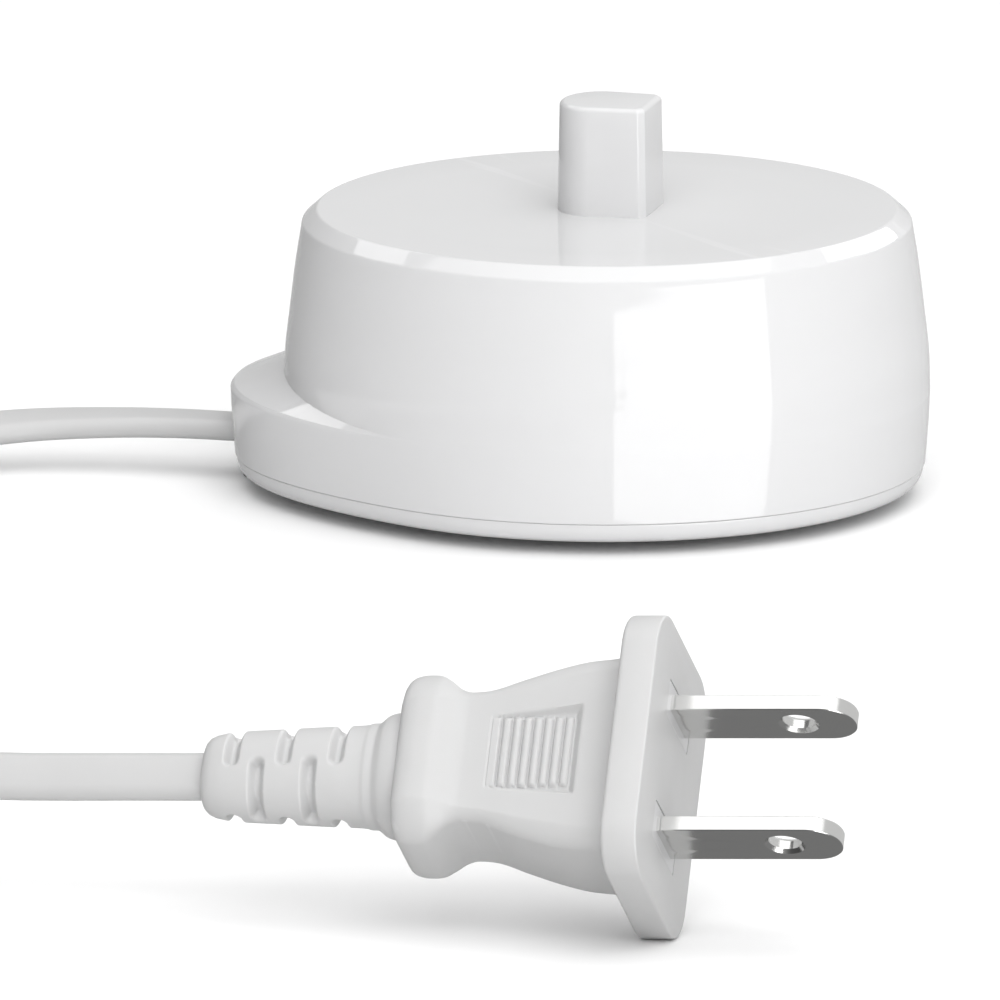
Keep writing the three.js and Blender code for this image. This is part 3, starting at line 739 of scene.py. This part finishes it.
def blade_outline(amount, angles):
    """The blade's outline, moved inwards by amount, met by rays from the hole's middle."""
    half, out, corner = BLADE_HALF - amount, BLADE_OUT - amount, TIP_CORNER - amount
    arc = np.radians(np.linspace(0, 90, 20))
    tip = [(out - corner + corner * math.sin(a), -half + corner - corner * math.cos(a)) for a in arc]
    inner = -BLADE_IN + amount
    line = np.array([(inner, -half), *tip, *[(w, -v) for w, v in tip[::-1]], (inner, half)]) - (HOLE_AT, 0)
    hits = []
    for a in angles:
        ray = np.array([math.cos(a), math.sin(a)])
        best = None
        for p, q in zip(line, np.roll(line, -1, 0)):
            edge = q - p
            area = ray[0] * edge[1] - ray[1] * edge[0]
            if abs(area) < 1e-12:
                continue
            reach = (p[0] * edge[1] - p[1] * edge[0]) / area
            share = (p[0] * ray[1] - p[1] * ray[0]) / area
            if reach > 0 and -1e-9 <= share <= 1 + 1e-9:
                best = reach if best is None else min(best, reach)
        hits.append(ray * best + (HOLE_AT, 0))
    return np.array(hits)


def make_blade(name, side):
    """A blade as one closed strip: through the chamfered hole, over a face, round the rim, over the other."""
    edge = 0.07
    back_corner = math.atan2(BLADE_HALF, -BLADE_IN - HOLE_AT)
    even = np.linspace(-math.pi, math.pi, 128, endpoint=False)
    angles = np.sort(np.concatenate([even, [back_corner, -back_corner]]))
    circle = np.stack([np.cos(angles), np.sin(angles)], axis=1)
    hole, chamfer = (circle * r + (HOLE_AT, 0) for r in (HOLE_R, HOLE_R + HOLE_CHAMFER))
    full, less = blade_outline(0, angles), blade_outline(edge, angles)
    top = BLADE_T / 2
    levels = [
        (hole, -(top - HOLE_CHAMFER)), (hole, top - HOLE_CHAMFER), (chamfer, top), (less, top),
        (full, top - edge), (full, -(top - edge)), (less, -top), (chamfer, -top),
    ]
    centre = side * BLADE_PITCH / 2
    rings = [[(w, centre + level, v) for w, v in line] for line, level in levels]
    points, faces = skin([*rings, rings[0]], close_ends=False)
    around = len(angles)
    last = len(rings) * around
    faces = [tuple(i - last if i >= last else i for i in face) for face in faces]
    return mesh_object(name, points[:last], faces, crease=25)


# --- Finishes ---

def finish(name, colour, roughness, **look):
    """A procedural finish. look: metal, coat, soft (light under the surface), mottle (share of colour
    change), swing (share of roughness change), patch (their size in mm), edge (brighter colour on sharp
    edges, by pointiness) and bumps (sizes and heights in mm)."""
    material = bpy.data.materials.new(name)
    material.use_nodes = True
    tree = material.node_tree
    new, link = tree.nodes.new, tree.links.new
    shader = tree.nodes["Principled BSDF"]
    shader.inputs["Metallic"].default_value = look.get("metal", 0.0)
    shader.inputs["Coat Weight"].default_value = look.get("coat", 0.0)
    shader.inputs["Coat Roughness"].default_value = 0.04
    shader.inputs["IOR"].default_value = 1.5
    shader.inputs["Subsurface Weight"].default_value = look.get("soft", 0.0)
    shader.inputs["Subsurface Radius"].default_value = (1.2 * MM, 1.0 * MM, 0.9 * MM)
    shader.inputs["Subsurface Scale"].default_value = 1.0
    coords = new("ShaderNodeTexCoord")

    def noise(size_mm, detail=3.0, distortion=0.0):
        node = new("ShaderNodeTexNoise")
        node.inputs["Scale"].default_value = 1 / (size_mm * MM)
        node.inputs["Detail"].default_value = detail
        node.inputs["Distortion"].default_value = distortion
        link(coords.outputs["Object"], node.inputs["Vector"])
        return node.outputs["Fac"]

    def between(value, low, high):
        node = new("ShaderNodeMapRange")
        for socket, number in zip(MAP_SOCKETS, (0.3, 0.7, low, high)):
            node.inputs[socket].default_value = number
        link(value, node.inputs["Value"])
        return node.outputs["Result"]

    swing, patch = look.get("swing", 0.15) * roughness, look.get("patch", 9)
    link(between(noise(patch, 4), roughness - swing, roughness + swing), shader.inputs["Roughness"])

    mix = new("ShaderNodeMix")
    mix.data_type = "RGBA"
    mottle = look.get("mottle", 0.03)
    mix.inputs["A"].default_value = (*[c * (1 - mottle) for c in colour], 1)
    mix.inputs["B"].default_value = (*[min(1, c * (1 + mottle)) for c in colour], 1)
    link(between(noise(patch * 0.7, 5, 0.4), 0, 1), mix.inputs["Factor"])
    shade = mix.outputs["Result"]
    # Sharp edges, where the pointiness is high, get a brighter colour
    if look.get("edge"):
        geometry = new("ShaderNodeNewGeometry")
        sharp_edge_lift = new("ShaderNodeMapRange")
        for socket, value in zip(MAP_SOCKETS, (0.52, 0.62, 0, look["edge"])):
            sharp_edge_lift.inputs[socket].default_value = value
        link(geometry.outputs["Pointiness"], sharp_edge_lift.inputs["Value"])
        sharp_edge_mix = new("ShaderNodeMix")
        sharp_edge_mix.data_type = "RGBA"
        sharp_edge_mix.inputs["B"].default_value = (*[min(1, c * 1.12 + 0.02) for c in colour], 1)
        link(sharp_edge_lift.outputs["Result"], sharp_edge_mix.inputs["Factor"])
        link(shade, sharp_edge_mix.inputs["A"])
        shade = sharp_edge_mix.outputs["Result"]
    link(shade, shader.inputs["Base Color"])

    normal = None
    for size, height in look.get("bumps", [(0.25, 0.004)]):
        bump = new("ShaderNodeBump")
        bump.inputs["Strength"].default_value = 1.0
        bump.inputs["Distance"].default_value = height * MM
        link(noise(size, 2), bump.inputs["Height"])
        if normal is not None:
            link(normal, bump.inputs["Normal"])
        normal = bump.outputs["Normal"]
    link(normal, shader.inputs["Normal"])
    return material


FINISHES = {
    "housing_gloss": finish(
        "housing_gloss", (0.675, 0.675, 0.68), 0.045, swing=0.3, mottle=0.006, patch=22, edge=0.4,
        bumps=[(7, 0.0025), (0.6, 0.0002)]),
    "plug_vinyl": finish(
        "plug_vinyl", (0.53, 0.53, 0.53), 0.46, mottle=0.012, edge=0.5, soft=0.06,
        bumps=[(0.16, 0.006), (1.6, 0.012)]),
    "carrier_plastic": finish(
        "carrier_plastic", (0.56, 0.56, 0.565), 0.38, mottle=0.012, edge=0.3, bumps=[(0.2, 0.003)]),
    "cord_vinyl": finish(
        "cord_vinyl", (0.51, 0.51, 0.51), 0.34, mottle=0.012, soft=0.06, bumps=[(0.5, 0.004), (5, 0.02)]),
    "foot_rubber": finish(
        "foot_rubber", (0.045, 0.048, 0.048), 0.75, mottle=0.2, edge=0.4, bumps=[(0.15, 0.01)]),
    "blade_nickel": finish(
        "blade_nickel", (0.8, 0.8, 0.79), 0.17, metal=1.0, mottle=0.004, swing=0.05, patch=3,
        bumps=[(0.35, 0.0002)]),
    "ferrite": finish(
        "ferrite", (0.05, 0.05, 0.055), 0.6, mottle=0.25, patch=2, edge=0.6, bumps=[(0.12, 0.008)]),
    "black_resin": finish("black_resin", (0.028, 0.028, 0.03), 0.42, mottle=0.15, patch=3, edge=0.5),
    "copper_wire": finish(
        "copper_wire", (0.7, 0.34, 0.17), 0.28, metal=1.0, mottle=0.1, patch=1.5, bumps=[(0.3, 0.02)]),
    "board_laminate": finish(
        "board_laminate", (0.06, 0.2, 0.08), 0.38, mottle=0.18, patch=2.5, edge=0.5, bumps=[(0.4, 0.006)]),
    "capacitor_sleeve": finish(
        "capacitor_sleeve", (0.045, 0.08, 0.22), 0.28, mottle=0.08, patch=4, coat=0.4, bumps=[(1.4, 0.01)]),
    "film_capacitor": finish(
        "film_capacitor", (0.6, 0.4, 0.08), 0.3, mottle=0.06, patch=4, bumps=[(0.8, 0.01)]),
    "varistor_coating": finish("varistor_coating", (0.045, 0.2, 0.45), 0.26, mottle=0.1, patch=3, coat=0.5),
    "resistor_body": finish(
        "resistor_body", (0.3, 0.36, 0.4), 0.52, mottle=0.1, patch=2, bumps=[(0.1, 0.006)]),
    "diode_glass": finish("diode_glass", (0.5, 0.13, 0.045), 0.12, mottle=0.15, patch=1, coat=0.8),
    "core_brown": finish("core_brown", (0.19, 0.085, 0.038), 0.42, mottle=0.08, patch=3),
    "core_blue": finish("core_blue", (0.045, 0.12, 0.4), 0.42, mottle=0.08, patch=3),
    "tie_black": finish(
        "tie_black", (0.022, 0.022, 0.023), 0.85, mottle=0.3, patch=0.8, bumps=[(0.25, 0.05)]),
}
NODE_FINISH = {
    "top_housing": "housing_gloss", "base_plate": "housing_gloss", "ferrite_core": "ferrite",
    "coil_bobbin": "black_resin", "primary_winding": "copper_wire", "circuit_board": "board_laminate",
    "bulk_capacitor": "capacitor_sleeve", "filter_capacitor": "capacitor_sleeve",
    "resonance_capacitor": "film_capacitor", "switching_transistor": "black_resin", "filter_choke": "ferrite",
    "varistor": "varistor_coating", "fuse_resistor": "resistor_body", "bridge_rectifier": "black_resin",
    "snubber_resistor": "resistor_body", "gate_resistor": "resistor_body", "zener_diode": "diode_glass",
    "coil_lead_start": "copper_wire", "coil_lead_end": "copper_wire", "cord_inner_end": "cord_vinyl",
    "cord_clamp": "black_resin", "line_wire": "core_brown", "neutral_wire": "core_blue",
    "plug_body": "plug_vinyl", "plug_strain_relief": "plug_vinyl", "blade_carrier": "carrier_plastic",
    "line_blade": "blade_nickel", "neutral_blade": "blade_nickel", "plug_cord_end": "cord_vinyl",
    "plug_line_wire": "core_brown", "plug_neutral_wire": "core_blue", "cord_lead": "cord_vinyl",
    "cord_coil": "cord_vinyl", "cord_tail": "cord_vinyl", "cord_tie": "tie_black",
    **{foot: "foot_rubber" for foot in FEET},
}


def dress(obj, slot):
    """Gives an object its finish; a CAD node has its slot already."""
    obj.data.materials.clear()
    obj.data.materials.append(FINISHES[slot])


def soften_node(obj, width, segments=2):
    """Rounds a carried-over part's edges as it is drawn."""
    bevel = obj.modifiers.new("edges", "BEVEL")
    bevel.width, bevel.segments = width * MM, segments
    bevel.limit_method, bevel.angle_limit = "ANGLE", math.radians(35)
    obj.data.polygons.foreach_set("use_smooth", np.ones(len(obj.data.polygons), bool))
    obj.data.set_sharp_from_angle(angle=math.radians(35))


# --- Assembly ---

def place(obj, slot, *stands_for):
    """Adds a piece to the assembly, in place of the CAD nodes that it stands for."""
    dress(obj, slot)
    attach(obj, "root")
    if stands_for:
        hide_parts(*stands_for)


for node, slot in NODE_FINISH.items():
    dress(NODES[node], slot)
    soften_node(NODES[node], 0.12)

supply_cord, cord_path, cord_length = make_cord()
place(supply_cord, "cord_vinyl", "cord_lead", "cord_coil", "cord_tail")

place(make_housing(), "housing_gloss", "top_housing")
place(make_peg(), "housing_gloss")
place(make_base_plate(), "housing_gloss", "base_plate")

plug_pieces = [
    (make_plug_body(), "plug_vinyl", ["plug_body"]),
    (make_flange(), "plug_vinyl", []),
    (make_carrier(), "carrier_plastic", ["blade_carrier"]),
    (make_relief(), "plug_vinyl", ["plug_strain_relief"]),
    (make_blade("blade_upper", -1), "blade_nickel", ["line_blade"]),
    (make_blade("blade_lower", 1), "blade_nickel", ["neutral_blade"]),
]
for piece, slot, stands_for in plug_pieces:
    piece.data.transform(PLUG_FRAME)
    place(piece, slot, *stands_for)


# --- Floor ---

def make_floor(half=3.0):
    """A plain pale floor, 2 x half metres wide."""
    data = bpy.data.meshes.new("floor")
    corners = [(-half, -half, 0), (half, -half, 0), (half, half, 0), (-half, half, 0)]
    data.from_pydata(corners, [], [(0, 1, 2, 3)])
    floor = bpy.data.objects.new("floor", data)
    bpy.context.scene.collection.objects.link(floor)
    pale = finish("floor", (0.93, 0.93, 0.93), 0.9, mottle=0.004, patch=60, bumps=[(2, 0.002)])
    data.materials.append(pale)
    floor.visible_glossy = False


make_floor()
